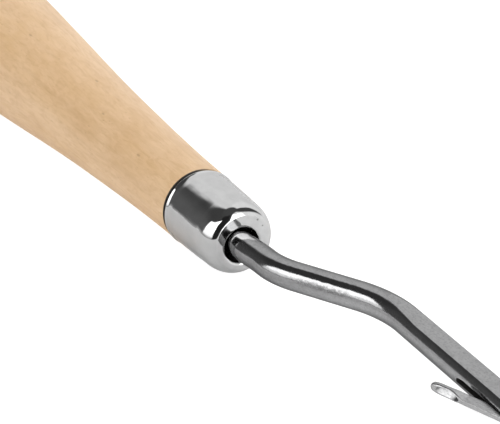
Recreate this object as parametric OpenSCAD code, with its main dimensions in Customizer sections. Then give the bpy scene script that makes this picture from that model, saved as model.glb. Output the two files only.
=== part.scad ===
// Bent latch hook: a turned wooden handle, a pressed steel ferrule, a cranked
// round steel shank whose far end is slotted and curled into a hook, and a
// small spoon-ended latch that swings on a rivet through the slot.
//
// Tool frame: +X runs along the handle's axis towards the hook, x = 0 is the
// front face of the ferrule, the shank is cranked towards +Y, the throat of the
// hook opens towards -Y and the flat sides of the shank face +Z and -Z.
// lay_down() then lowers the nose a few degrees, so that the swell of the handle
// and the side of the hook both touch the table at z = 0.

/* [Handle] */
// Length of bare wood behind the ferrule
wood_len = 87; // [82:1:96]
// Diameter of the wood where it meets the ferrule
neck_d = 9.9; // [9.6:0.1:10]
// Largest diameter of the handle
swell_d = 18.8; // [17:0.2:22]
// Distance from the ferrule's rim to the largest diameter
swell_at = 76; // [72:1:80]
// Diameter of the small flat on the butt
butt_flat_d = 5; // [3:0.5:7]

/* [Ferrule] */
// Length of the ferrule
ferrule_len = 12; // [11:0.5:14]
// Diameter of the ferrule at its open rim
ferrule_d = 10; // [10:0.1:10.6]
// Diameter where the side turns into the rounded nose
shoulder_d = 9.4; // [9.2:0.1:9.6]
// Thickness of the ferrule's metal
ferrule_wall = 0.5; // [0.4:0.05:0.6]
// Diameter of the hole that the shank leaves by
nose_hole_d = 4.3; // [4:0.1:4.6]

/* [Shank] */
// Diameter of the round steel
rod_d = 3.5; // [3.3:0.1:3.6]
// Depth of the tang below the ferrule's front face
tang_len = 38; // [30:1:46]
// Straight stub between the ferrule and the first bend
stub_len = 5.3; // [4.5:0.1:7]
// Centreline radius of the first bend
bend1_r = 12; // [8:0.5:14]
// Angle of the cranked length to the handle
crank_angle = 26; // [18:1:30]
// Straight part of the cranked length
crank_len = 8.8; // [7:0.1:11]
// Centreline radius of the second bend
bend2_r = 17; // [12:0.5:20]
// How far the last length leans back towards the handle's axis, in degrees
lean = 1.8; // [0:0.1:3]
// Thickness across the two flat sides of the last length
flat_t = 2.8; // [2.7:0.05:3]

/* [Hook] */
// Distance from the end of the second bend to the latch's rivet
pivot_at = 27; // [26:0.5:30]
// Distance from the rivet to the centre of the hook's curl
curl_at = 13.9; // [13.6:0.1:14.2]
// Centreline radius of the curl
curl_r = 2.3; // [2.2:0.05:2.4]
// Diameter of the wire in the curl
wire_d = 1.9; // [1.8:0.05:2]

/* [Latch] */
// Distance from the rivet to the end of the latch
latch_len = 14; // [13.8:0.1:14.2]
// Thickness of the latch's blade
blade_t = 0.6; // [0.5:0.05:0.65]
// Width of the slot that the latch swings in
slot_w = 0.76; // [0.7:0.02:0.8]
// Diameter of the rivet
rivet_d = 1.2; // [1:0.05:1.3]
// Angle between the latch and the shank as it lies open
open_angle = 19.5; // [15:0.5:30]
// Swing of the latch away from the open position, 0 is as it lies
latch_swing = 0; // [-5:1:138]

/* [Hidden] */
$fn = 72;
eps = 0.01;
hair = 0.01;

neck_r = neck_d / 2;
swell_r = swell_d / 2;
rim_r = ferrule_d / 2;
shoulder_r = shoulder_d / 2;
rod_r = rod_d / 2;
flat_z = flat_t / 2;
wire_r = wire_d / 2;
wire_y = rod_r - wire_r - 0.05;     // wire sits close to the shank's back
dome_x = 3.2;                       // length of the ferrule's rounded nose
dome_r = 2.5;                       // and how far it turns in
// inside radius of the ferrule x behind its front face
function inside(x) = shoulder_r - ferrule_wall
    + (rim_r - shoulder_r) * (x - dome_x) / (ferrule_len - dome_x);
spigot_end = 4;                     // wood stops this far behind the front face
curl_turn = 184;                    // how far the wire turns in the curl

// Ends of the two bends, in the tool frame
b1_end = [stub_len + bend1_r * sin(crank_angle), bend1_r * (1 - cos(crank_angle))];
b2_start = b1_end + crank_len * [cos(crank_angle), sin(crank_angle)];
b2_centre = b2_start + bend2_r * [sin(crank_angle), -cos(crank_angle)];
b2_end = b2_centre + bend2_r * [sin(lean), cos(lean)];

// Radius of the wood at distance d behind the ferrule's rim. The turner's
// template: how much of the swell is reached at each tenth of the way.
fullness = [0, 0.04, 0.11, 0.2, 0.3, 0.425, 0.565, 0.7, 0.83, 0.94, 1];
function at(i) = fullness[min(max(i, 0), 10)];
function smooth(u) = let (i = min(floor(u * 10), 9), t = u * 10 - i,
        a = at(i - 1), b = at(i), c = at(i + 1), d = at(i + 2))
    b + t * ((c - a) / 2 + t * (a - 2.5 * b + 2 * c - d / 2
        + t * (1.5 * (b - c) + (d - a) / 2)));
function body_r(d) = neck_r + (swell_r - neck_r) * smooth(d / swell_at);
function butt_r(d) = let (u = (d - swell_at) / (wood_len - swell_at))
    butt_flat_d / 2 + (swell_r - butt_flat_d / 2) * sqrt(max(0, 1 - pow(u, 2.3)));
function wood_r(d) = d < swell_at ? body_r(d) : butt_r(d);

// How the finished tool lies: on a ring of the handle a little in front of its
// widest place, and on the side of the curl
low_at = swell_at - 5.6;
low_r = wood_r(low_at);
hook_x = b2_end[0] + (pivot_at + curl_at + curl_r) * cos(lean);
tilt = atan((low_r - wire_r) / (hook_x + ferrule_len + low_at));
lift = low_r * cos(tilt) - (ferrule_len + low_at) * sin(tilt);
mid_x = 14.28;                      // puts the middle of the length over x = 0

module lay_down() {
    translate([mid_x, 0, lift]) rotate([0, tilt, 0]) children();
}

// Local frame of the last length: x' runs along it from the rivet
module at_rivet() {
    translate([b2_end[0], b2_end[1], 0]) rotate([0, 0, -lean])
        translate([pivot_at, 0, 0]) children();
}

wood_steps = 40;
butt_steps = 18;
wood_profile = concat(
    [[0, 0], [0, neck_r]],
    [for (i = [1:wood_steps]) let (d = swell_at * i / wood_steps) [d, wood_r(d)]],
    [for (i = [1:butt_steps]) let (d = swell_at + (wood_len - swell_at) * sin(90 * i / butt_steps)) [d, wood_r(d)]],
    [[wood_len, 0]]
);

// Turns a profile of [distance back from x0, radius] about the handle's axis
module turned(x0, profile) {
    translate([x0, 0, 0]) rotate([0, -90, 0]) rotate_extrude($fn = 96)
        polygon([for (p = profile) [p[1], p[0]]]);
}

module along_x(x0, x1, r) {
    translate([x0, 0, 0]) rotate([0, 90, 0]) cylinder(r = r, h = x1 - x0);
}

module handle() {
    color("burlywood") lay_down() difference() {
        union() {
            turned(-ferrule_len, wood_profile);
            // turned-down spigot that fills the ferrule's slightly tapered inside
            translate([-ferrule_len, 0, 0]) rotate([0, 90, 0])
                cylinder(r1 = inside(ferrule_len) - hair / 2, r2 = inside(spigot_end) - hair / 2,
                         h = ferrule_len - spigot_end);
        }
        // blind hole that the tang is driven into
        along_x(-tang_len, 1, rod_r);
        translate([-tang_len + eps, 0, 0]) rotate([0, -90, 0])
            cylinder(r1 = rod_r, r2 = 0.1, h = 2);
    }
}

// Rounded nose of the ferrule: x runs back from the front face
function nose(u, t) = [dome_x - (dome_x - t) * sin(u),
                       shoulder_r - dome_r + (dome_r - t) * cos(u)];
nose_steps = 14;
ferrule_out = concat([[ferrule_len, rim_r]],
    [for (i = [0:nose_steps]) nose(90 * i / nose_steps, 0)]);
ferrule_in = concat(
    [for (i = [nose_steps:-1:0]) nose(90 * i / nose_steps, ferrule_wall)],
    [[ferrule_len, inside(ferrule_len)]]);

module ferrule() {
    color("silver") lay_down() turned(0, concat(ferrule_out,
        [[0, nose_hole_d / 2], [ferrule_wall, nose_hole_d / 2]], ferrule_in));
}

// One bend of the round steel: centre, centreline radius, first direction of the
// radius, sweep. It is a hair thinner than the straights and runs a little way
// into them, so no two round faces lie on each other.
module bend(c, r, from, sweep, tube) {
    lap = 0.25 / r * 57.3;
    translate([c[0], c[1], 0]) rotate([0, 0, from - lap])
        rotate_extrude(angle = sweep + 2 * lap, $fn = 180)
            translate([r, 0]) circle(r = tube - hair);
}

module rod_between(a, b) {
    d = b - a;
    translate([a[0], a[1], 0]) rotate([0, 0, atan2(d[1], d[0])]) rotate([0, 90, 0])
        cylinder(r = rod_r, h = norm(d));
}

// Plan of everything left between the two ground flats, seen from the side
module flats_side() {
    s = b2_end[0];
    polygon([
        [-tang_len - 4, -rod_r - 1], [s - 5, -rod_r - 0.05], [s - 1, -rod_r + 0.14],
        [s + 3.5, -flat_z], [s + pivot_at + 4, -flat_z],
        [hook_x + 4, -wire_r - 0.05], [hook_x + 4, wire_r + 0.05],
        [s + pivot_at + 4, flat_z], [s + 3.5, flat_z], [s - 1, rod_r - 0.14],
        [s - 5, rod_r + 0.05], [-tang_len - 4, rod_r + 1]]);
}

// Saw cut that the latch swings in, in the rivet's frame
module slot() {
    translate([0, 0, -slot_w / 2]) linear_extrude(height = slot_w)
        polygon([[-12.55, -4], [-12.55, -1.1], [-2.2, 1.25], [1.6, 1.25],
                 [6.3, -0.75], [6.6, -4]]);
    translate([-12.55, -1.1, 0]) rotate([90, 0, 0]) cylinder(r = slot_w / 2, h = 3);
}

module hook_head() {
    at_rivet() {
        // round steel up to the start of the taper
        along_x(-pivot_at, 3, rod_r);
        // taper down to the wire, kept close to the back
        rise = atan((wire_y - 0.06) / 6.5);
        translate([2.7, 0, 0]) rotate([0, 0, rise]) rotate([0, 90, 0])
            cylinder(r1 = rod_r - 0.05, r2 = wire_r - 0.03, h = 6.85);
        translate([0, wire_y, 0]) along_x(9.2, curl_at, wire_r);
        // the curl
        bend([curl_at, wire_y - curl_r], curl_r, -curl_turn + 90, curl_turn, wire_r);
        // tapered point
        translate([curl_at, wire_y - curl_r, 0]) rotate([0, 0, 90 - curl_turn])
            translate([curl_r, 0.12, 0]) rotate([90, 0, 0]) {
                cylinder(r1 = wire_r - 2 * hair, r2 = 0.35, h = 3.3);
                translate([0, 0, 3.28]) sphere(r = 0.33);
            }
    }
}

module shank() {
    color("lightsteelblue") lay_down() difference() {
        intersection() {
            union() {
                along_x(-tang_len, stub_len, rod_r);
                translate([-tang_len + 0.05, 0, 0]) rotate([0, -90, 0])
                    cylinder(r1 = rod_r - hair, r2 = 0.1, h = 2);
                bend([stub_len, bend1_r], bend1_r, -90, crank_angle, rod_r);
                rod_between(b1_end, b2_start);
                bend(b2_centre, bend2_r, 90 - lean, crank_angle + lean, rod_r);
                hook_head();
            }
            translate([0, 40, 0]) rotate([90, 0, 0]) linear_extrude(height = 80) flats_side();
        }
        at_rivet() {
            slot();
            rivet_space(0.5);
        }
    }
}

// The latch in its own frame: rivet at the origin, spoon along +x, hollow of
// the spoon towards +y
module latch_shape() {
    spoon_w = 1.3;
    spoon_t = 0.8;
    tip_r = 0.5;
    difference() {
        intersection() {
            // seen from the side
            translate([0, 0, -1]) linear_extrude(height = 2) union() {
                circle(r = 1.1);
                polygon([[0, -0.85], [9.4, -0.68], [10.7, -spoon_t / 2],
                         [latch_len - 0.4, -spoon_t / 2], [latch_len, -0.1],
                         [latch_len, 0.15], [latch_len - 0.3, spoon_t / 2],
                         [10.9, spoon_t / 2], [9.9, 0.68], [0, 0.85]]);
            }
            // seen from the back of the spoon
            rotate([90, 0, 0]) translate([0, 0, -2]) linear_extrude(height = 4) union() {
                translate([-2, -blade_t / 2]) square([12.4, blade_t]);
                polygon([[9.2, -blade_t / 2], [11.2, -spoon_w / 2], [12.9, -spoon_w / 2],
                         [latch_len - tip_r, -tip_r], [latch_len - tip_r, tip_r],
                         [12.9, spoon_w / 2], [11.2, spoon_w / 2], [9.2, blade_t / 2]]);
                translate([latch_len - tip_r, 0]) circle(r = tip_r);
            }
        }
        translate([0, 0, -3]) cylinder(r = rivet_d / 2 + 0.04, h = 6);
        // hollow of the spoon
        translate([11.5, 0.7, 0]) rotate([0, 90, 0]) cylinder(r = 0.62, h = 1.4);
        translate([11.5, 0.7, 0]) sphere(r = 0.62);
        translate([12.9, 0.7, 0]) sphere(r = 0.62);
    }
}

module latch() {
    color("gainsboro") lay_down() at_rivet()
        rotate([0, 0, 180 + open_angle + latch_swing]) latch_shape();
}

// The pin and its two heads, swelled into small countersinks and dressed level
// with the flat sides so that yarn can't catch on them
module rivet_space(proud) {
    r = rivet_d / 2;
    sink = 0.3;
    translate([0, 0, -flat_z - proud]) cylinder(r = r, h = flat_t + 2 * proud);
    for (s = [0, 1]) mirror([0, 0, s]) translate([0, 0, flat_z - sink])
        cylinder(r1 = r, r2 = r + (sink + proud), h = sink + proud);
}

module latch_rivet() {
    color("silver") lay_down() at_rivet() rivet_space(0);
}

handle();
ferrule();
shank();
latch();
latch_rivet();
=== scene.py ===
"""Bent latch hook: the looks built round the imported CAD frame.

All shapes are made in the tool frame in millimetres (x along the handle towards the
hook, flats facing z) and laid down into the row frame in metres with the same tilt
and shift as the CAD source uses.
"""

import math

import bmesh
import bpy
import numpy as np
from mathutils import Matrix, Vector


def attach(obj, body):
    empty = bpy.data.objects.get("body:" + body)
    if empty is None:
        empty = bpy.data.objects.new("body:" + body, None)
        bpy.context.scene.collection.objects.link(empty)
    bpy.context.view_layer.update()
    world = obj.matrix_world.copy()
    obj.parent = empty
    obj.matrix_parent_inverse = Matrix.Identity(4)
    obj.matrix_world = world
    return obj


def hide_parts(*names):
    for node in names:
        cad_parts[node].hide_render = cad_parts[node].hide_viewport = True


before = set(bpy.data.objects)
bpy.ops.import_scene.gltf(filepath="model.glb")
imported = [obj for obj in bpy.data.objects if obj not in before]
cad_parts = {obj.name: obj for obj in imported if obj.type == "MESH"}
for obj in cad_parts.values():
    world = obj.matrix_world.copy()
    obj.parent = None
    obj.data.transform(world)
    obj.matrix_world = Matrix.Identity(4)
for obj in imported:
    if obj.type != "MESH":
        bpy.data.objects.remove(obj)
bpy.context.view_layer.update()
scene = bpy.context.scene

# ---------------------------------------------------------------- tool frame -> row frame
TILT = math.radians(3.1158038133)
SHIFT = np.array([14.28, 0.0, 4.733542907808668])
LEAN = math.radians(1.8)


def to_row(p):
    """Points in the tool frame, mm, as points in the row frame, metres."""
    p = np.asarray(p, float)
    c, s = math.cos(TILT), math.sin(TILT)
    x = p[..., 0] * c + p[..., 2] * s
    z = -p[..., 0] * s + p[..., 2] * c
    return (np.stack([x, p[..., 1], z], -1) + SHIFT) * 0.001


# ---------------------------------------------------------------- mesh helpers
def smoothstep(t):
    t = np.clip(t, 0.0, 1.0)
    return t * t * (3 - 2 * t)


def smin(a, b, k):
    h = np.maximum(k - np.abs(a - b), 0.0) / k
    return np.minimum(a, b) - h * h * k * 0.25


def new_object(name, mesh):
    o = bpy.data.objects.new(name, mesh)
    scene.collection.objects.link(o)
    return o


def lattice(name, rings, wrap_rings=False, cap0=None, cap1=None, u=None, v=None, index=None,
            sharp=40.0):
    """A mesh through rings of points (tool frame, mm). Each ring is closed. cap0 and cap1
    are the points that the first and last ring close on."""
    rings = np.asarray(rings, float)
    n, m, _ = rings.shape
    pts = list(to_row(rings.reshape(-1, 3)))
    faces, slots, uvs = [], [], []
    if u is None:
        u = np.arange(n, dtype=float)
    if v is None:
        v = np.arange(m + 1, dtype=float) / m
    last = n if wrap_rings else n - 1
    for i in range(last):
        i2 = (i + 1) % n
        for j in range(m):
            j2 = (j + 1) % m
            faces.append((i * m + j, i * m + j2, i2 * m + j2, i2 * m + j))
            slots.append(0 if index is None else int(index[i][j]))
            uvs += [(u[i], v[j]), (u[i], v[j + 1]), (u[i + 1] if i2 else u[-1], v[j + 1]),
                    (u[i + 1] if i2 else u[-1], v[j])]
    for cap, row, flip in ((cap0, 0, True), (cap1, n - 1, False)):
        if cap is None:
            continue
        pts.append(to_row(np.asarray(cap, float)))
        c = len(pts) - 1
        for j in range(m):
            a, b = row * m + j, row * m + (j + 1) % m
            faces.append((b, a, c) if flip else (a, b, c))
            slots.append(0)
            uvs += [(u[row], v[j + 1]), (u[row], v[j]), (u[row], v[j])]
    mesh = bpy.data.meshes.new(name)
    mesh.from_pydata([tuple(p) for p in pts], [], faces)
    layer = mesh.uv_layers.new(name="along")
    layer.data.foreach_set("uv", np.asarray(uvs, np.float32).ravel())
    mesh.polygons.foreach_set("material_index", np.asarray(slots, np.int32))
    o = new_object(name, mesh)
    finish_mesh(o, sharp)
    return o


def finish_mesh(o, sharp=40.0):
    bm = bmesh.new()
    bm.from_mesh(o.data)
    bmesh.ops.remove_doubles(bm, verts=bm.verts, dist=1e-9)
    bmesh.ops.dissolve_degenerate(bm, edges=bm.edges, dist=1e-9)
    bmesh.ops.recalc_face_normals(bm, faces=bm.faces)
    bm.to_mesh(o.data)
    bm.free()
    o.data.polygons.foreach_set("use_smooth", np.ones(len(o.data.polygons), bool))
    o.data.set_sharp_from_angle(angle=math.radians(sharp))
    o.data.update()


def revolve(name, profile, around=160, closed=False, sharp=40.0, aside=None):
    """Turns a profile of (x, radius) about the tool's x axis. A closed profile makes a
    ring; an open one starts and ends on the axis. aside gives (y, z) by which the circle
    through a point of the profile lies off the axis."""
    profile = [tuple(p) for p in profile]
    cap0 = cap1 = None
    if not closed:
        cap0 = (profile[0][0], 0, 0)
        cap1 = (profile[-1][0], 0, 0)
        profile = profile[1:-1]
    t = np.linspace(0, 2 * math.pi, around, endpoint=False)
    rings = [np.stack([np.full(around, x), r * np.cos(t), r * np.sin(t)], -1) for x, r in profile]
    if aside is not None:
        rings = [ring + np.array([0, *aside(x, r)]) for ring, (x, r) in zip(rings, profile)]
    d = np.cumsum([0] + [math.dist(a, b) for a, b in zip(profile, profile[1:])])
    d = np.append(d, d[-1] + 0.5)
    return lattice(name, rings, wrap_rings=closed, cap0=cap0, cap1=cap1, u=d, sharp=sharp)


def arc(cx, cy, r, a0, a1, n):
    """n points on an arc in the (x, radius) plane, angles in degrees."""
    return [(cx + r * math.cos(math.radians(a)), cy + r * math.sin(math.radians(a)))
            for a in np.linspace(a0, a1, n)]


def cut(o, cutter, sharp=32.0):
    """Takes cutter away from o for good."""
    m = o.modifiers.new("cut", "BOOLEAN")
    m.operation, m.solver, m.object = "DIFFERENCE", "EXACT", cutter
    bpy.context.view_layer.update()
    made = bpy.data.meshes.new_from_object(
        o.evaluated_get(bpy.context.evaluated_depsgraph_get()))
    o.modifiers.clear()
    old = o.data
    o.data = made
    bpy.data.meshes.remove(old)
    data = cutter.data
    bpy.data.objects.remove(cutter)
    bpy.data.meshes.remove(data)
    o.data.set_sharp_from_angle(angle=math.radians(sharp))


# ---------------------------------------------------------------- material helpers
class Nodes:
    """A short way to write a node tree."""

    def __init__(self, name, mm=True):
        self.mat = bpy.data.materials.new(name)
        self.mat.use_nodes = True
        self.tree = self.mat.node_tree
        self.tree.nodes.clear()
        self.out = self.add("ShaderNodeOutputMaterial")
        self.bsdf = self.add("ShaderNodeBsdfPrincipled")
        self.link(self.bsdf, "BSDF", self.out, "Surface")
        coord = self.add("ShaderNodeTexCoord")
        place = self.add("ShaderNodeMapping")      # row frame in metres -> tool frame in mm
        place.vector_type = "TEXTURE"
        place.inputs["Location"].default_value = tuple(SHIFT * 0.001)
        place.inputs["Rotation"].default_value = (0, TILT, 0)
        place.inputs["Scale"].default_value = (0.001, 0.001, 0.001)
        self.link(coord, "Object", place, "Vector")
        self.place = (place, "Vector")
        self.uv = (coord, "UV")

    def add(self, kind, **props):
        n = self.tree.nodes.new(kind)
        for k, val in props.items():
            setattr(n, k, val)
        return n

    def link(self, a, a_out, b, b_in):
        self.tree.links.new(a.outputs[a_out], b.inputs[b_in])

    def put(self, node, socket, value):
        """value is a number or colour, or a (node, output) pair."""
        if isinstance(value, tuple) and len(value) == 2 and hasattr(value[0], "outputs"):
            self.tree.links.new(value[0].outputs[value[1]], node.inputs[socket])
        else:
            node.inputs[socket].default_value = value

    def scaled(self, src, scale, offset=(0, 0, 0), rot=(0, 0, 0)):
        m = self.add("ShaderNodeMapping")
        self.put(m, "Vector", src)
        m.inputs["Scale"].default_value = scale
        m.inputs["Location"].default_value = offset
        m.inputs["Rotation"].default_value = rot
        return (m, "Vector")

    def noise(self, src, scale=1.0, detail=3.0, rough=0.5, distort=0.0):
        n = self.add("ShaderNodeTexNoise")
        self.put(n, "Vector", src)
        n.inputs["Scale"].default_value = scale
        n.inputs["Detail"].default_value = detail
        n.inputs["Roughness"].default_value = rough
        n.inputs["Distortion"].default_value = distort
        return (n, "Fac")

    def voronoi(self, src, scale=1.0, feature="F1", random=1.0):
        n = self.add("ShaderNodeTexVoronoi", feature=feature)
        self.put(n, "Vector", src)
        n.inputs["Scale"].default_value = scale
        n.inputs["Randomness"].default_value = random
        return (n, "Distance")

    def ramp(self, src, a, b, lo=0.0, hi=1.0):
        n = self.add("ShaderNodeMapRange", interpolation_type="SMOOTHSTEP")
        self.put(n, "Value", src)
        self.put(n, "From Min", a)
        self.put(n, "From Max", b)
        self.put(n, "To Min", lo)
        self.put(n, "To Max", hi)
        return (n, "Result")

    def math(self, op, a, b=None, c=None):
        n = self.add("ShaderNodeMath", operation=op)
        for i, x in enumerate((a, b, c)):
            if x is not None:
                self.put(n, i, x)
        return (n, "Value")

    def mix(self, fac, a, b, mode="MIX"):
        n = self.add("ShaderNodeMixRGB", blend_type=mode)
        self.put(n, "Fac", fac)
        self.put(n, "Color1", a)
        self.put(n, "Color2", b)
        return (n, "Color")

    def bump(self, height, distance, strength=1.0, normal=None):
        n = self.add("ShaderNodeBump")
        self.put(n, "Height", height)
        n.inputs["Distance"].default_value = distance
        n.inputs["Strength"].default_value = strength
        if normal is not None:
            self.put(n, "Normal", normal)
        return (n, "Normal")

    def set(self, socket, value):
        self.put(self.bsdf, socket, value)


def rgb(r, g, b):
    """sRGB 0-255 as a linear colour."""
    def lin(c):
        c /= 255.0
        return c / 12.92 if c <= 0.04045 else ((c + 0.055) / 1.055) ** 2.4
    return (lin(r), lin(g), lin(b), 1.0)


def wood_material():
    """Pale close-grained hardwood, turned, sanded and given a satin lacquer."""
    n = Nodes("turned_wood")
    p = n.place
    broad = n.noise(n.scaled(p, (0.012, 0.16, 0.16), (3.0, 1.7, 0.4)), 1.0, 3.0, 0.5, 0.4)
    streak = n.noise(n.scaled(p, (0.02, 0.75, 0.75), (0.0, 5.0, 2.0)), 1.0, 4.0, 0.55, 0.3)
    fibre = n.noise(n.scaled(p, (0.22, 4.2, 4.2)), 1.0, 4.0, 0.6, 0.2)
    curl = n.noise(n.scaled(p, (0.17, 0.42, 0.42), (7.0, 0.0, 3.0), (0.0, 0.0, 0.2)), 1.0, 3.0, 0.5, 0.6)
    base = n.mix(n.ramp(broad, 0.3, 0.7), rgb(208, 172, 127), rgb(217, 183, 142))
    base = n.mix(n.ramp(streak, 0.42, 0.78, 0.0, 0.45), base, rgb(187, 149, 106))
    base = n.mix(n.ramp(curl, 0.35, 0.7, 0.0, 0.45), base, rgb(222, 190, 152))
    mottle = n.noise(n.scaled(p, (0.45, 1.5, 1.5), (1.0, 8.0, 3.0), (0.0, 0.0, 0.12)), 1.0, 5.0, 0.68, 0.7)
    base = n.mix(n.ramp(mottle, 0.42, 0.68, 0.0, 0.5), base, rgb(194, 155, 111))
    base = n.mix(n.ramp(fibre, 0.48, 0.8, 0.0, 0.3), base, rgb(174, 136, 95))
    # short dark pores and flecks lying along the grain
    fleck = n.voronoi(n.scaled(p, (0.55, 2.3, 2.3), (0.3, 0.1, 0.7)), 1.0)
    gate = n.noise(n.scaled(p, (0.3, 0.9, 0.9), (9.0, 4.0, 1.0)), 1.0, 1.0)
    spot = n.math("MULTIPLY", n.ramp(fleck, 0.19, 0.07), n.ramp(gate, 0.52, 0.66))
    base = n.mix(n.math("MULTIPLY", spot, 0.4), base, rgb(150, 108, 70))
    pore = n.voronoi(n.scaled(p, (0.12, 0.34, 0.34), (2.3, 0.6, 0.2)), 1.0)
    knot = n.ramp(pore, 0.07, 0.03)
    base = n.mix(n.math("MULTIPLY", knot, 0.35), base, rgb(122, 84, 52))
    # painted shade: the wood at and under the ferrule's rim is painted nearly black for the shadow in the gap
    # there; on the shoulder it is deepest on the upper, -y side
    n_x = n.add("ShaderNodeSeparateXYZ")
    n.put(n_x, 0, p)
    turned = n.math("SUBTRACT", (n_x, "Z"), (n_x, "Y"))
    rim_gap_shade = n.math("MULTIPLY", n.ramp((n_x, "X"), -12.24, -12.13), n.math("MAXIMUM", n.ramp(turned, 1.5, 5.5, 0.35, 1.0),
                                                                      n.ramp((n_x, "X"), -12.1, -11.9)))
    base = n.mix(rim_gap_shade, base, (0.012, 0.009, 0.006, 1))
    n.set("Base Color", base)
    rough = n.ramp(fibre, 0.3, 0.75, 0.42, 0.55)
    n.set("Roughness", rough)
    n.set("IOR", 1.5)
    n.set("Specular IOR Level", 0.45)
    n.set("Coat Weight", 0.18)
    n.set("Coat Roughness", 0.32)
    n.set("Coat IOR", 1.5)
    n.set("Subsurface Weight", 0.0)
    turning = n.noise(n.scaled(p, (5.0, 0.05, 0.05)), 1.0, 2.0)
    height = n.math("ADD", n.math("MULTIPLY", fibre, 0.7), n.math("MULTIPLY", turning, 0.1))
    height = n.math("SUBTRACT", height, n.math("MULTIPLY", spot, 0.8))
    height = n.math("SUBTRACT", height, n.math("MULTIPLY", knot, 1.5))
    n.set("Normal", n.bump(height, 0.00002, 0.7))
    return n.mat


def plated_material():
    """Bright nickel plate on pressed steel, with a few pits and a soft waviness."""
    n = Nodes("ferrule_nickel")
    p = n.place
    cloud = n.noise(n.scaled(p, (0.5, 0.8, 0.8), (1.0, 2.0, 3.0)), 1.0, 3.0, 0.55)
    tint = n.mix(n.ramp(cloud, 0.3, 0.7), (0.565, 0.565, 0.565, 1), (0.52, 0.52, 0.52, 1))[0]
    n.set("Metallic", 1.0)
    n.set("Specular Tint", (0.8, 0.8, 0.8, 1))
    haze = n.noise(n.scaled(p, (1.4, 3.0, 3.0), (5.0, 0.0, 1.0)), 1.0, 5.0, 0.65)
    n.set("Roughness", n.ramp(haze, 0.3, 0.8, 0.04, 0.10))
    pit = n.voronoi(n.scaled(p, (0.62, 0.62, 0.62), (0.35, 0.8, 0.15)), 1.0)
    pits = n.ramp(pit, 0.12, 0.05)
    wave = n.noise(n.scaled(p, (0.16, 0.42, 0.42), (2.0, 2.5, 0.0)), 1.0, 2.0, 0.45)
    line = n.noise(n.scaled(p, (0.08, 9.0, 9.0)), 1.0, 3.0, 0.6)
    dents = None
    for at, size in (((-0.4, 2.11, 2.55), 0.17), ((-0.4, 2.74, 1.59), 0.14), ((-9.06, 2.71, 4.08), 0.13),
                     ((-4.6, 4.1, 2.6), 0.1), ((-7.2, -4.6, -1.2), 0.12)):
        far = n.add("ShaderNodeVectorMath", operation="DISTANCE")
        n.put(far, 0, p)
        far.inputs[1].default_value = at
        one = n.ramp((far, "Value"), size, size * 0.35)
        dents = one if dents is None else n.math("MAXIMUM", dents, one)
    pits = n.math("MAXIMUM", pits, dents)
    n.set("Base Color", n.mix(n.math("MULTIPLY", dents, 0.8), (tint, "Color"), (0.2, 0.2, 0.2, 1)))
    first = n.bump(wave, 0.00016, 0.6)
    second = n.bump(n.math("SUBTRACT", n.math("MULTIPLY", line, 0.05), pits), 0.00003, 0.6, first)
    n.set("Normal", second)
    return n.mat


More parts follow.
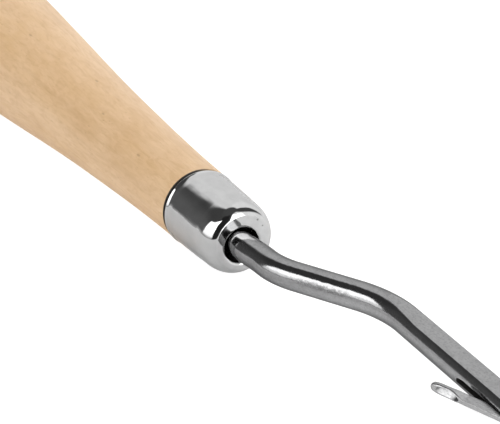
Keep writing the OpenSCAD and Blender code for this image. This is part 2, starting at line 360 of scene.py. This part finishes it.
def steel_material(name, satin=False, tumbled=False):
    """Drawn steel, polished: fine lines along the rod and a scuffed patch. Satin is the
    ground flat, tumbled the small stamped latch, whose edges are softer."""
    n = Nodes(name)
    p = n.place
    along = n.scaled(n.uv, (0.16, 26.0, 1.0))
    lines = n.noise(along, 1.0, 4.0, 0.65)
    blotch = n.noise(n.scaled(p, (0.5, 1.3, 1.3), (1.0, 0.0, 4.0)), 1.0, 3.0, 0.6)
    grain = n.noise(n.scaled(p, (2.6, 3.8, 3.8), (2.0, 5.0, 1.0)), 1.0, 5.0, 0.75)
    if satin:
        base = n.mix(n.ramp(blotch, 0.3, 0.75), (0.345, 0.345, 0.348, 1), (0.305, 0.305, 0.308, 1))
        base = n.mix(n.ramp(grain, 0.44, 0.66, 0.0, 0.75), base, (0.21, 0.21, 0.212, 1))
        n.set("Base Color", base)
        n.set("Metallic", 1.0)
        grind = n.noise(n.scaled(p, (2.4, 1.1, 1.1), (0.0, 1.0, 0.0), (0, 0, 0.9)), 1.0, 5.0, 0.7)
        n.set("Roughness", n.ramp(grind, 0.3, 0.8, 0.30, 0.42))
        n.set("Normal", n.bump(grind, 0.00003, 0.6, n.bump(grain, 0.000008, 0.6)))
    else:
        light, dark = ((0.41, 0.41, 0.413, 1), (0.36, 0.36, 0.363, 1)) if tumbled else \
            ((0.345, 0.345, 0.348, 1), (0.30, 0.30, 0.303, 1))
        base = n.mix(n.ramp(blotch, 0.3, 0.75), light, dark)
        base = n.mix(n.ramp(grain, 0.44, 0.68, 0.0, 0.5), base, (0.21, 0.21, 0.212, 1))
        # scuffed along the middle of the crank
        along_x = n.add("ShaderNodeSeparateXYZ")
        n.put(along_x, 0, p)
        place = n.math("MULTIPLY", n.ramp((along_x, "X"), 11.5, 13.5), n.ramp((along_x, "X"), 20.0, 18.0))
        around = n.add("ShaderNodeSeparateXYZ")
        n.put(around, 0, n.uv)
        place = n.math("MULTIPLY", place, n.ramp((around, "Y"), 0.596, 0.616))
        place = n.math("MULTIPLY", place, n.ramp((around, "Y"), 0.643, 0.630))
        scratch = n.noise(n.scaled(p, (0.9, 5.0, 5.0), (0.0, 3.0, 0.0), (0, 0, -0.45)), 1.0, 4.0, 0.7)
        scuff = n.math("MULTIPLY", place, n.ramp(scratch, 0.36, 0.6))
        if not tumbled:
            base = n.mix(n.math("MULTIPLY", scuff, 0.75), base, (0.11, 0.11, 0.11, 1))
        n.set("Base Color", base)
        n.set("Metallic", 1.0)
        n.set("Specular Tint", (0.35, 0.35, 0.35, 1))
        if tumbled:
            rough = n.ramp(lines, 0.3, 0.8, 0.20, 0.30)
        else:
            rough = n.math("ADD", n.ramp(lines, 0.3, 0.8, 0.08, 0.17), n.math("MULTIPLY", scuff, 0.22))
        n.set("Roughness", rough)
        wave = n.noise(n.scaled(p, (0.5, 0.9, 0.9), (3.0, 0.0, 2.0)), 1.0, 3.0, 0.5)
        first = n.bump(wave, 0.00006, 0.5)
        height = n.math("ADD", lines, n.math("MULTIPLY", n.math("MULTIPLY", scratch, place), 2.0))
        n.set("Normal", n.bump(height, 0.000007, 0.6, first))
    return n.mat


def slot_shade_material():
    """The inside of the saw slot, with painted shade: its steel is coloured nearly black for the shade deep
    in the narrow slot, with cut marks.
    """
    n = Nodes("shank_slot_painted_shade")
    cut_marks = n.noise(n.scaled(n.place, (3.0, 9.0, 3.0)), 1.0, 4.0, 0.6)
    # painted shade: the slot's steel is coloured nearly black for the shade inside the narrow slot
    n.set("Base Color", n.mix(n.ramp(cut_marks, 0.3, 0.7), (0.03, 0.028, 0.027, 1), (0.07, 0.066, 0.062, 1)))
    n.set("Metallic", 0.6)
    n.set("Roughness", 0.6)
    n.set("Normal", n.bump(cut_marks, 0.00003, 0.7))
    return n.mat


wood = wood_material()
nickel = plated_material()
steel = steel_material("shank_polished")
satin = steel_material("shank_satin_flat", satin=True)
latch_steel = steel_material("latch_tumbled", tumbled=True)
rivet_steel = steel_material("rivet_polished")
slot_shade = slot_shade_material()

# ---------------------------------------------------------------- handle
NECK_R, SWELL_R, BUTT_FLAT_R = 4.95, 9.4, 2.5
WOOD_LEN, SWELL_AT, FERRULE_LEN = 87.0, 76.0, 12.0
FULLNESS = [0, 0.04, 0.11, 0.2, 0.3, 0.425, 0.565, 0.7, 0.83, 0.94, 1]


def fullness(uu):
    def at(i):
        return FULLNESS[min(max(i, 0), 10)]
    i = min(int(uu * 10), 9)
    t = uu * 10 - i
    a, b, c, d = at(i - 1), at(i), at(i + 1), at(i + 2)
    return b + t * ((c - a) / 2 + t * (a - 2.5 * b + 2 * c - d / 2 + t * (1.5 * (b - c) + (d - a) / 2)))


def wood_r(d):
    if d < SWELL_AT:
        return NECK_R + (SWELL_R - NECK_R) * fullness(d / SWELL_AT)
    uu = (d - SWELL_AT) / (WOOD_LEN - SWELL_AT)
    return BUTT_FLAT_R + (SWELL_R - BUTT_FLAT_R) * math.sqrt(max(0.0, 1 - uu ** 2.3))


def handle_profile():
    bore, deep = 1.76, 38.0
    p = [(-deep - 2.0, 0.0), (-deep - 1.9, 0.2), (-deep, bore), (-deep + 8, bore), (-20, bore),
         (-6.05, bore)]
    p += [(-6.0, bore + 0.06), (-6.0, 4.12), (-6.12, 4.24)]
    p += [(-8, 4.32), (-11.7, 4.45), (-12.04, 4.47)]
    p += [(-12.08, 4.55), (-12.08, 4.8)] + arc(-12.14, 4.88, 0.06, 0, 90, 6)
    p += [(-12 - d, wood_r(d)) for d in np.arange(0.8, SWELL_AT, 0.8)]
    p += [(-12 - d, wood_r(d)) for d in
          SWELL_AT + (WOOD_LEN - SWELL_AT) * np.sin(np.radians(np.linspace(0, 88.5, 34)))]
    # the small flat, with the turner's centre mark
    end = -12 - WOOD_LEN
    p += [(end, 2.35), (end, 1.3), (end + 0.02, 0.9), (end + 0.25, 0.5), (end + 0.7, 0.12), (end + 0.8, 0.0)]
    return p


handle_piece = revolve("handle_wood", handle_profile(), 192, sharp=50)
handle_piece.data.materials.append(wood)

# ---------------------------------------------------------------- ferrule
DOME_X, DOME_R, SHOULDER_R, TIP_X, WALL = 3.8, 2.45, 4.69, -0.06, 0.5
FACE_X = -0.40


def nose(a, t):
    """The dome from its shoulder (a = 0) inwards, t inside its outer skin."""
    return (-DOME_X + (DOME_X + TIP_X - t) * abs(math.sin(a)) ** (2 / 2.65),
            SHOULDER_R - DOME_R + (DOME_R - t) * max(0.0, math.cos(a)) ** (2 / 2.35))


def stub_aside(x):
    """How far the stub of the shank stands off the handle's axis where it leaves."""
    k = float(smoothstep((x + 5.5) / 3.5)) * float(1 - smoothstep((x - 0.5) / 5.0))
    return -0.31 * k, -0.03 * k


def hole_aside(x, r):
    """The hole was punched a little off centre."""
    k = float(smoothstep((3.5 - r) / 0.8)) if x > -3 else 0.0
    return -0.07 * k, -0.35 * k


def ferrule_profile():
    """The rim flares a little and rolls over, the wall tapers, the nose is a dome with a
    flat face, and the edge of the hole is rolled in."""
    slope, flare_at, flare_end, rise = 0.027, -10.9, -11.43, 0.105

    def wall(x):
        f = max(0.0, (flare_at - x) / (flare_at - flare_end))
        neck = 0.045 * float(smoothstep((-10.0 - x) / 1.0))
        ease = 0.04 * float(smoothstep((-x - DOME_X) / 2.4))
        return SHOULDER_R - slope * (x + DOME_X) + ease - neck + rise * f ** 2.2

    tip = wall(flare_end)
    lean = math.degrees(math.atan(slope + rise * 2.2 / (flare_at - flare_end)))
    roll = 0.13
    cx = flare_end - roll * math.sin(math.radians(lean))
    cr = tip - roll * math.cos(math.radians(lean))
    p = [(-11.95, 4.5), (-11.97, 4.53), (-11.95, 4.62), (cx - roll - 0.05, 4.66), (cx - roll, 4.72)]
    p += arc(cx, cr, roll, 180, 90 - lean, 18)
    p += [(x, wall(x)) for x in np.linspace(flare_end, flare_at, 16)[1:]]
    p += [(x, wall(x)) for x in np.linspace(flare_at, -9.8, 12)[1:]]
    p += [(x, wall(x)) for x in np.linspace(-9.8, -DOME_X - 0.1, 26)[1:]]
    bore, lip, lip_x = 2.25, 0.42, -0.74
    for x, r in (nose(a, 0) for a in np.radians(np.linspace(0, 90, 150))):
        if r > bore + lip + 0.5:
            p.append((float(smin(np.array(x), np.array(FACE_X), 0.05)), r))
    for r in np.concatenate([np.linspace(p[-1][1] - 0.05, bore + lip, 9),
                             bore + lip * (1 - np.cos(np.radians(np.linspace(87, 0, 26))))]):
        inward = min(1.0, max(0.0, bore + lip - r) / lip)
        p.append((lip_x + (FACE_X - lip_x) * math.sqrt(1 - inward ** 2), float(r)))
    p += [(lip_x - 0.3, bore), (lip_x - 0.36, bore + 0.12)]
    p += [nose(a, WALL) for a in np.radians(np.linspace(66, 0, 14))]
    p += [(-12.0 + 3, 4.42)]
    return p


ferrule_piece = revolve("ferrule_cup", ferrule_profile(), 224, closed=True, sharp=45, aside=hole_aside)
ferrule_piece.data.materials.append(nickel)

# ---------------------------------------------------------------- shank
ROD_R, STUB, R1, R2 = 1.75, 5.3, 12.0, 17.0
CRANK, CRANK_LEN = math.radians(26), 8.8
WIRE_R, WIRE_Y, CURL_AT, CURL_R, CURL_TURN = 0.95, 0.75, 13.9, 2.3, math.radians(184)
B1_END = np.array([STUB + R1 * math.sin(CRANK), R1 * (1 - math.cos(CRANK))])
B2_START = B1_END + CRANK_LEN * np.array([math.cos(CRANK), math.sin(CRANK)])
B2_C = B2_START + R2 * np.array([math.sin(CRANK), -math.cos(CRANK)])
B2_END = B2_C + R2 * np.array([math.sin(LEAN), math.cos(LEAN)])
RIVET = B2_END + 27.0 * np.array([math.cos(LEAN), -math.sin(LEAN)])
HEAD = np.array([math.cos(LEAN), -math.sin(LEAN)])     # along the last length
SIDE = np.array([math.sin(LEAN), math.cos(LEAN)])      # to its left, the back of the hook


def rivet_xy(x, y):
    return RIVET + HEAD * x + SIDE * y


def shank_stations():
    """(centre x, y, heading, radius) along the whole shank."""
    st = []
    for x, r in ((-39.95, 0.12), (-39.7, 0.36), (-39.0, 0.95), (-38.35, 1.5), (-38.0, 1.7),
                 (-37.7, 1.75)):
        st.append((x, 0.0, 0.0, r))
    st += [(x, 0.0, 0.0, ROD_R) for x in np.linspace(-34, -6.0, 8)]
    st += [(x, 0.0, 0.0, ROD_R) for x in np.linspace(-5.5, -2.0, 8)]
    st += [(x, 0.0, 0.0, ROD_R) for x in np.linspace(-1.5, STUB - 0.3, 20)]
    for a in np.linspace(0, CRANK, 30):
        st.append((STUB + R1 * math.sin(a), R1 * (1 - math.cos(a)), a, ROD_R))
    for t in np.linspace(0, CRANK_LEN, 34)[1:-1]:
        q = B1_END + t * np.array([math.cos(CRANK), math.sin(CRANK)])
        st.append((q[0], q[1], CRANK, ROD_R))
    for a in np.linspace(CRANK, -LEAN, 42):
        q = B2_C + R2 * np.array([-math.sin(a), math.cos(a)])
        st.append((q[0], q[1], a, ROD_R))
    for t in np.linspace(-27, 2.6, 92)[1:]:
        q = rivet_xy(t, 0)
        st.append((q[0], q[1], -LEAN, ROD_R))
    # taper to the wire, keeping to the back
    for t in np.linspace(2.9, 9.6, 30):
        k = (t - 2.7) / 6.85
        soft = k + 0.05 * math.sin(2 * math.pi * k) * -1
        q = rivet_xy(t, WIRE_Y * soft)
        st.append((q[0], q[1], -LEAN + math.atan(WIRE_Y / 6.85) * math.sin(math.pi * min(1, max(0, k))) * 0.8,
                   1.70 + (WIRE_R - 1.70) * soft))
    for t in np.linspace(9.9, CURL_AT, 14):
        q = rivet_xy(t, WIRE_Y)
        st.append((q[0], q[1], -LEAN, WIRE_R))
    c = rivet_xy(CURL_AT, WIRE_Y - CURL_R)
    for a in np.linspace(0, CURL_TURN, 56)[1:]:
        h = -LEAN - a
        st.append((c[0] - CURL_R * math.sin(h), c[1] + CURL_R * math.cos(h), h, WIRE_R))
    h = -LEAN - CURL_TURN
    end = np.array([c[0] - CURL_R * math.sin(h), c[1] + CURL_R * math.cos(h)])
    d = np.array([math.cos(h), math.sin(h)])
    side = np.array([-math.sin(h), math.cos(h)])
    for t in np.linspace(0.15, 3.3, 22):
        k = t / 3.3
        q = end + d * t + side * 0.12 * smoothstep(k)
        st.append((q[0], q[1], h, WIRE_R + (0.36 - WIRE_R) * (k ** 1.08)))
    for a in np.radians(np.linspace(15, 82, 7)):
        q = end + d * (3.3 + 0.3 * math.sin(a)) + side * 0.12
        st.append((q[0], q[1], h, 0.36 * math.cos(a)))
    q = end + d * 3.61 + side * 0.12
    return np.array(st), (q[0], q[1], 0.0)


def flat_half(x):
    """Half the thickness between the flats at x along the tool."""
    s = B2_END[0]
    xs = [-60, s - 5, s - 1, s + 3.5, s + 31, s + 47.3]
    zs = [3.5, 1.80, 1.61, 1.40, 1.40, 1.00]
    return np.interp(x, xs, zs)


def ring_angles(alpha):
    """Angles round the section, close together near the edges of the flats."""
    na, nf = 44, 30
    def spread(a, b, n, p=1.35):
        t = np.linspace(-1, 1, n, endpoint=False)
        t = np.sign(t) * (1 - (1 - np.abs(t)) ** p)
        return a + (b - a) * (t + 1) / 2
    return np.concatenate([spread(-alpha, alpha, na), spread(alpha, math.pi - alpha, nf),
                           spread(math.pi - alpha, math.pi + alpha, na),
                           spread(math.pi + alpha, 2 * math.pi - alpha, nf)]), na, nf


def build_shank():
    st, tip = shank_stations()
    rings, index = [], []
    lengths = np.concatenate([[0], np.cumsum(np.hypot(np.diff(st[:, 0]), np.diff(st[:, 1])))])
    for x, y, h, r in st:
        half = float(flat_half(x))
        q = min(half / r, math.sin(math.radians(86)))
        alpha = math.asin(q)
        th, na, nf = ring_angles(alpha)
        e = np.array([-math.sin(h), math.cos(h), 0.0])
        a = r * np.cos(th)
        b = r * np.sin(th)
        b = np.sign(b) * smin(np.abs(b), np.full_like(b, half), 0.07) if half < r + 0.07 else b
        off_y, off_z = stub_aside(x)
        rings.append(np.array([x, y + off_y, off_z]) + a[:, None] * e + b[:, None] * np.array([0, 0, 1.0]))
        row = np.zeros(len(th), int)
        if half < r - 0.02:
            row[na:na + nf] = 1
            row[2 * na + nf:] = 1
        index.append(row)
    o = lattice("shank_steel_rod", rings, cap0=(-40.0, 0, 0), cap1=tip,
                u=np.append(lengths, lengths[-1] + 0.1), v=np.linspace(0, 1, len(index[0]) + 1),
                index=index, sharp=40)
    o.data.materials.append(steel)
    o.data.materials.append(satin)
    return o


def prism(name, outline, z0, z1):
    """A closed prism over an outline in the tool's XY plane."""
    n = len(outline)
    pts = [(x, y, z0) for x, y in outline] + [(x, y, z1) for x, y in outline]
    faces = [tuple(range(n - 1, -1, -1)), tuple(range(n, 2 * n))]
    faces += [(i, (i + 1) % n, n + (i + 1) % n, n + i) for i in range(n)]
    mesh = bpy.data.meshes.new(name)
    mesh.from_pydata([tuple(p) for p in to_row(np.array(pts))], [], faces)
    o = new_object(name, mesh)
    bm = bmesh.new()
    bm.from_mesh(mesh)
    bmesh.ops.recalc_face_normals(bm, faces=bm.faces)
    bm.to_mesh(mesh)
    bm.free()
    return o


def pin(name, centre, profile, around=48):
    """A turned solid standing along z at a point of the XY plane. profile is (z, radius)."""
    t = np.linspace(0, 2 * math.pi, around, endpoint=False)
    rings = [np.stack([centre[0] + r * np.cos(t), centre[1] + r * np.sin(t), np.full(around, z)], -1)
             for z, r in profile[1:-1]]
    return lattice(name, rings, cap0=(centre[0], centre[1], profile[0][0]),
                   cap1=(centre[0], centre[1], profile[-1][0]), sharp=40)


shank_piece = build_shank()
SLOT = 0.38


def slot_solid():
    """The saw slot: it starts narrow, short and a little low, then keeps its width."""
    xs = [-13.15, -13.1, -12.95, -12.7, -12.3, -11.9, -11.4, -2.2, 1.6, 6.3, 6.6]
    tops = [-1.2, -1.0, -0.9, -0.8, -0.68, -0.56, -0.43, 1.25, 1.25, -0.75, -1.2]
    halves = [0.12, 0.2, 0.26, 0.31, 0.35, 0.37, SLOT, SLOT, SLOT, SLOT, SLOT]
    mids = [-0.17, -0.15, -0.11, -0.07, -0.04, -0.01, 0, 0, 0, 0, 0]
    rings = []
    for x, top, w, m in zip(xs, tops, halves, mids):
        lo, hi = rivet_xy(x, -4), rivet_xy(x, top)
        rings.append([(lo[0], lo[1], m - w), (lo[0], lo[1], m + w), (hi[0], hi[1], m + w),
                      (hi[0], hi[1], m - w)])
    ends = [np.mean(np.array(rings[i]), 0) for i in (0, -1)]
    return lattice("slot_cutter", rings, cap0=ends[0], cap1=ends[1], sharp=20)


# the slot's walls take the painted-shade material as material slot 2
shank_piece.data.materials.append(slot_shade)
slot_cutter = slot_solid()
for m in (steel, satin, slot_shade):
    slot_cutter.data.materials.append(m)
slot_cutter.data.polygons.foreach_set("material_index", np.full(len(slot_cutter.data.polygons), 2, np.int32))
cut(shank_piece, slot_cutter)
rivet_cutter = pin("rivet_cutter", RIVET, [(-1.9, 0), (-1.9, 1.41), (-1.4, 0.91), (-1.1, 0.61),
                                           (1.1, 0.61), (1.4, 0.91), (1.9, 1.41), (1.9, 0)])
for m in (steel, satin, slot_shade):
    rivet_cutter.data.materials.append(m)
cut(shank_piece, rivet_cutter)

# ---------------------------------------------------------------- rivet
head = [(1.4 + 0.035 * math.cos(a), 0.86 * math.sin(a)) for a in np.linspace(0.12, math.pi / 2, 10)]
half_pin = head + [(1.385, 0.885), (1.1, 0.6), (0.7, 0.6), (0.3, 0.6)]
rivet_profile = [(1.435, 0)] + half_pin + [(-z, r) for z, r in reversed(half_pin)] + [(-1.435, 0)]
rivet_piece = pin("latch_rivet_pin", RIVET, rivet_profile, 64)
rivet_piece.data.materials.append(rivet_steel)

# ---------------------------------------------------------------- latch
OPEN = math.radians(180 + 19.5)


def latch_point(x, y, z):
    c, s = math.cos(OPEN), math.sin(OPEN)
    lx, ly = x * c - y * s, x * s + y * c
    return np.stack([RIVET[0] + HEAD[0] * lx + SIDE[0] * ly,
                     RIVET[1] + HEAD[1] * lx + SIDE[1] * ly, z], -1)


def build_latch():
    xs = np.concatenate([
        -1.1 * np.cos(np.radians(np.linspace(9, 50, 9))),
        np.linspace(-0.6, 1.0, 17), np.linspace(1.2, 9.0, 40), np.linspace(9.1, 13.45, 110),
        13.5 + 0.5 * np.sin(np.radians(np.linspace(3, 84, 18)))])
    m = 144
    th = np.linspace(0, 2 * math.pi, m, endpoint=False)
    rings = []
    for x in xs:
        eye = math.sqrt(max(1e-6, 1.1 ** 2 - x * x)) if x < 1.1 else 0.0
        blade = np.interp(x, [-1.2, 0, 9.2, 10.2, 11.2, 13.4, 14.0], [0, 0.85, 0.69, 0.56, 0.40, 0.40, 0.40])
        if x < 0:
            blade = 0
        hy = max(eye, blade)
        if 0.2 < x < 1.4:
            hy = -float(smin(-np.array(max(eye, 1e-3)), -np.array(blade), 0.25))
        hz = float(np.interp(x, [-1.2, 9.3, 9.9, 10.5, 11.0, 12.7, 13.2, 13.5],
                             [0.30, 0.30, 0.40, 0.58, 0.65, 0.65, 0.60, 0.52]))
        if x > 13.5:
            k = math.sqrt(max(0.0, 1 - ((x - 13.5) / 0.5) ** 2))
            hz, hy = 0.52 * k, 0.40 * (0.35 + 0.65 * k)
        hy, hz = max(hy, 0.02), max(hz, 0.02)
        # rounded rectangle on the blade, oval at the spoon
        power = float(np.interp(x, [9.0, 9.8, 10.6, 11.2], [12.0, 6.0, 3.2, 2.6]))
        cy, cz = np.cos(th), np.sin(th)
        rad = (np.abs(cy) ** power + np.abs(cz) ** power) ** (-1 / power)
        y = hy * rad * cy
        z = hz * rad * cz
        # the bowl of the spoon, in the side that faces the stem when the latch is shut:
        # steep at the blade's end and running out softly at the tip
        u = (x - 11.4) / (1.6 if x < 11.4 else 1.95)
        if abs(u) < 1:
            half = (hz - 0.055) * (1 - abs(u) ** (5.0 if x < 11.4 else 3.0)) ** 0.5
            deep = (0.56 - 0.05 * (x - 10.0)) * (1 - abs(u) ** (6.0 if x < 11.4 else 4.0))
            mid = 0.5 * half
            w = np.where(z < mid, (mid - z) / (half + mid), (z - mid) / max(half - mid, 1e-3))
            dish = hy + 0.03 - deep * (1 - np.clip(w, 0, 1) ** 1.1)
            ok = (y > 0) & (np.abs(z) < half)
            y = np.where(ok, smin(y, dish, 0.03), y)
        rings.append(latch_point(np.full(m, x), y, z))
    tip0 = latch_point(np.array([-1.1]), np.array([0.0]), np.array([0.0]))[0]
    tip1 = latch_point(np.array([14.0]), np.array([0.0]), np.array([0.0]))[0]
    u = np.append(xs, 14.1)
    return lattice("latch_spoon", rings, cap0=tip0, cap1=tip1, u=u, sharp=60)


latch_piece = build_latch()
eye_cutter = pin("eye_cutter", RIVET, [(-1, 0), (-1, 0.64), (1, 0.64), (1, 0)])
latch_piece.data.materials.append(latch_steel)
eye_cutter.data.materials.append(latch_steel)
cut(latch_piece, eye_cutter, 50)

# ---------------------------------------------------------------- who rides on what
for piece, node, body, slot_name in (
        (handle_piece, "handle", "tool", "wood"),
        (ferrule_piece, "ferrule", "tool", "ferrule_metal"),
        (shank_piece, "shank", "tool", "shank_steel"),
        (rivet_piece, "latch_rivet", "tool", "rivet_steel"),
        (latch_piece, "latch", "latch", "latch_steel")):
    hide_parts(node)
    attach(piece, body)

# ---------------------------------------------------------------- floor
def floor_plane(name, z, base, glow, more=0.0):
    mesh = bpy.data.meshes.new(name)
    mesh.from_pydata([(-4, -4, z), (4, -4, z), (4, 4, z), (-4, 4, z)], [], [(0, 1, 2, 3)])
    o = new_object(name, mesh)
    m = bpy.data.materials.new(name)
    m.use_nodes = True
    p = m.node_tree.nodes["Principled BSDF"]
    p.inputs["Base Color"].default_value = (base, base, base, 1)
    p.inputs["Roughness"].default_value = 0.9
    p.inputs["Specular IOR Level"].default_value = 0.1
    p.inputs["Emission Color"].default_value = (1, 1, 1, 1)
    p.inputs["Emission Strength"].default_value = glow
    if more:
        t = m.node_tree
        place, parts, grow = (t.nodes.new("ShaderNode" + k) for k in ("TexCoord", "SeparateXYZ", "MapRange"))
        grow.interpolation_type = "SMOOTHSTEP"
        turn = t.nodes.new("ShaderNodeMapping")
        turn.inputs["Rotation"].default_value = (0, 0, math.radians(-55))
        t.links.new(place.outputs["Object"], turn.inputs["Vector"])
        t.links.new(turn.outputs["Vector"], parts.inputs[0])
        t.links.new(parts.outputs[0], grow.inputs["Value"])
        for k, value in (("From Min", 0.004), ("From Max", 0.02), ("To Min", glow), ("To Max", glow + more)):
            grow.inputs[k].default_value = value
        ray, matt = t.nodes.new("ShaderNodeLightPath"), t.nodes.new("ShaderNodeMath")
        matt.operation = "MULTIPLY_ADD"
        t.links.new(ray.outputs["Is Diffuse Ray"], matt.inputs[0])
        matt.inputs[1].default_value = 0.2
        t.links.new(grow.outputs["Result"], matt.inputs[2])
        t.links.new(matt.outputs[0], p.inputs["Emission Strength"])
    mesh.materials.append(m)
    return o


# what the camera sees is a white light table; what lights the tool and shows in the
# metal is a pale table top with the tool's own shadow on it
table = floor_plane("floor_light_table", -0.00003, 0.35, 0.90)
table.visible_diffuse = table.visible_glossy = table.visible_transmission = False
table.visible_shadow = False
under = floor_plane("floor_pale", -0.00006, 0.62, 0.225, 0.30)
under.visible_camera = False

# ---------------------------------------------------------------- studio: soft white room with dark flags
world = bpy.data.worlds.new("studio")
scene.world = world
world.use_nodes = True
wt = world.node_tree
wt.nodes.clear()
w_out = wt.nodes.new("ShaderNodeOutputWorld")
w_bg = wt.nodes.new("ShaderNodeBackground")
wt.links.new(w_bg.outputs[0], w_out.inputs[0])
w_co = wt.nodes.new("ShaderNodeTexCoord")


def wmath(op, a, b=None):
    n = wt.nodes.new("ShaderNodeMath")
    n.operation = op
    for i, x in enumerate((a, b)):
        if x is None:
            continue
        if isinstance(x, (int, float)):
            n.inputs[i].default_value = x
        else:
            wt.links.new(x, n.inputs[i])
    return n.outputs[0]


def edge(value, lo, hi, soft):
    """1 while value is from lo to hi, falling to 0 over soft on both sides, in degrees."""
    parts = []
    for a, b in ((lo - soft, lo), (hi + soft, hi)):
        r = wt.nodes.new("ShaderNodeMapRange")
        r.interpolation_type = "SMOOTHSTEP"
        wt.links.new(value, r.inputs["Value"])
        r.inputs["From Min"].default_value = a
        r.inputs["From Max"].default_value = b
        parts.append(r.outputs["Result"])
    return wmath("MULTIPLY", parts[0], parts[1])


w_xyz = wt.nodes.new("ShaderNodeSeparateXYZ")
wt.links.new(w_co.outputs["Generated"], w_xyz.inputs[0])
compass = wmath("DEGREES", wmath("ARCTAN2", w_xyz.outputs[1], w_xyz.outputs[0]))
height = wmath("DEGREES", wmath("ARCSINE", w_xyz.outputs[2]))


def panel(az, half, soft_az, lo, hi, soft_el, lean=0.0, skew=0.0, soft_lo=None, lean_lo=0.0):
    """A soft-edged panel of the room: middle and half its width in compass degrees, and
    from lo to hi above the horizon. lean and lean_lo slope its top and its foot, skew
    shifts it with height."""
    n = wt.nodes.new("ShaderNodeMath")
    n.operation = "WRAP"
    turned = wmath("SUBTRACT", compass, float(az))
    if skew:
        turned = wmath("SUBTRACT", turned, wmath("MULTIPLY", height, skew))
    wt.links.new(turned, n.inputs[0])
    n.inputs[1].default_value = 180.0
    n.inputs[2].default_value = -180.0

    def sloped(k):
        return wmath("SUBTRACT", height, wmath("MULTIPLY", n.outputs[0], k)) if k else height

    side = edge(n.outputs[0], -half, half, soft_az)
    return wmath("MULTIPLY", side, wmath("MULTIPLY", edge(sloped(lean), -200, hi, soft_el),
                                         edge(sloped(lean_lo), lo, 300, soft_lo or soft_el)))


def lay(base, mask, level):
    """base, changed to level where mask is 1."""
    if isinstance(base, (int, float)):
        return wmath("ADD", float(base), wmath("MULTIPLY", mask, level - base))
    return wmath("ADD", wmath("MULTIPLY", base, wmath("SUBTRACT", 1.0, mask)),
                 wmath("MULTIPLY", mask, level))


# the room from the horizon up: a pale wall all round, a dark screen on the left, a dark
# ceiling with a skirt in front, a black upright and two large soft boxes
room = lay(1.08, panel(-80.5, 81.5, 16, 6, 95, 11), 0.15)
room = lay(room, panel(-78, 79, 16, 45, 95, 32), 0.075)
room = lay(room, panel(42, 66, 12, -20, 95, 3, 0, 0.6), 1.22)
room = lay(room, panel(68, 28, 8, 44, 95, 12, 0, 0, None, -1.0), 0.08)
room = lay(room, panel(0, 181, 1, 74, 95, 8), 0.09)
room = lay(room, panel(-52, 23, 8, 3, 66, 8, 0, 0.15), 0.025)
room = lay(room, panel(-102.7, 24.7, 4, 7, 43, 6, 0.3, 0.27), 1.8)
room = lay(room, panel(-102.7, 24.7, 4, 25, 43, 6, 0.3, 0.27, 15), 3.4)
room = lay(room, panel(4.5, 21.5, 6, -6, 54.5, 6, -0.35, 0.3, 8), 4.8)
seen = wt.nodes.new("ShaderNodeLightPath")
wt.links.new(lay(room, seen.outputs["Is Camera Ray"], 1.0), w_bg.inputs["Strength"])
w_bg.inputs["Color"].default_value = (1.0, 1.0, 1.0, 1)

# ---------------------------------------------------------------- camera
cam_data = bpy.data.cameras.new("camera")
cam_data.sensor_width = 36.0
cam_data.lens = 172.8
cam_data.clip_start, cam_data.clip_end = 0.01, 20.0
cam = bpy.data.objects.new("camera", cam_data)
right = Vector((0.457288, 0.886758, -0.067445)).normalized()
down = Vector((0.322512, -0.236034, -0.916664)).normalized()
ahead = Vector((-0.828778, 0.397428, -0.393926)).normalized()
cam.matrix_world = Matrix((
    (right.x, -down.x, -ahead.x, 0.250402),
    (right.y, -down.y, -ahead.y, -0.112159),
    (right.z, -down.z, -ahead.z, 0.120869),
    (0, 0, 0, 1)))
scene.collection.objects.link(cam)
scene.camera = cam

scene.view_settings.view_transform = "Standard"
scene.view_settings.look = "None"
scene.view_settings.exposure = 0.0
scene.view_settings.gamma = 1.0
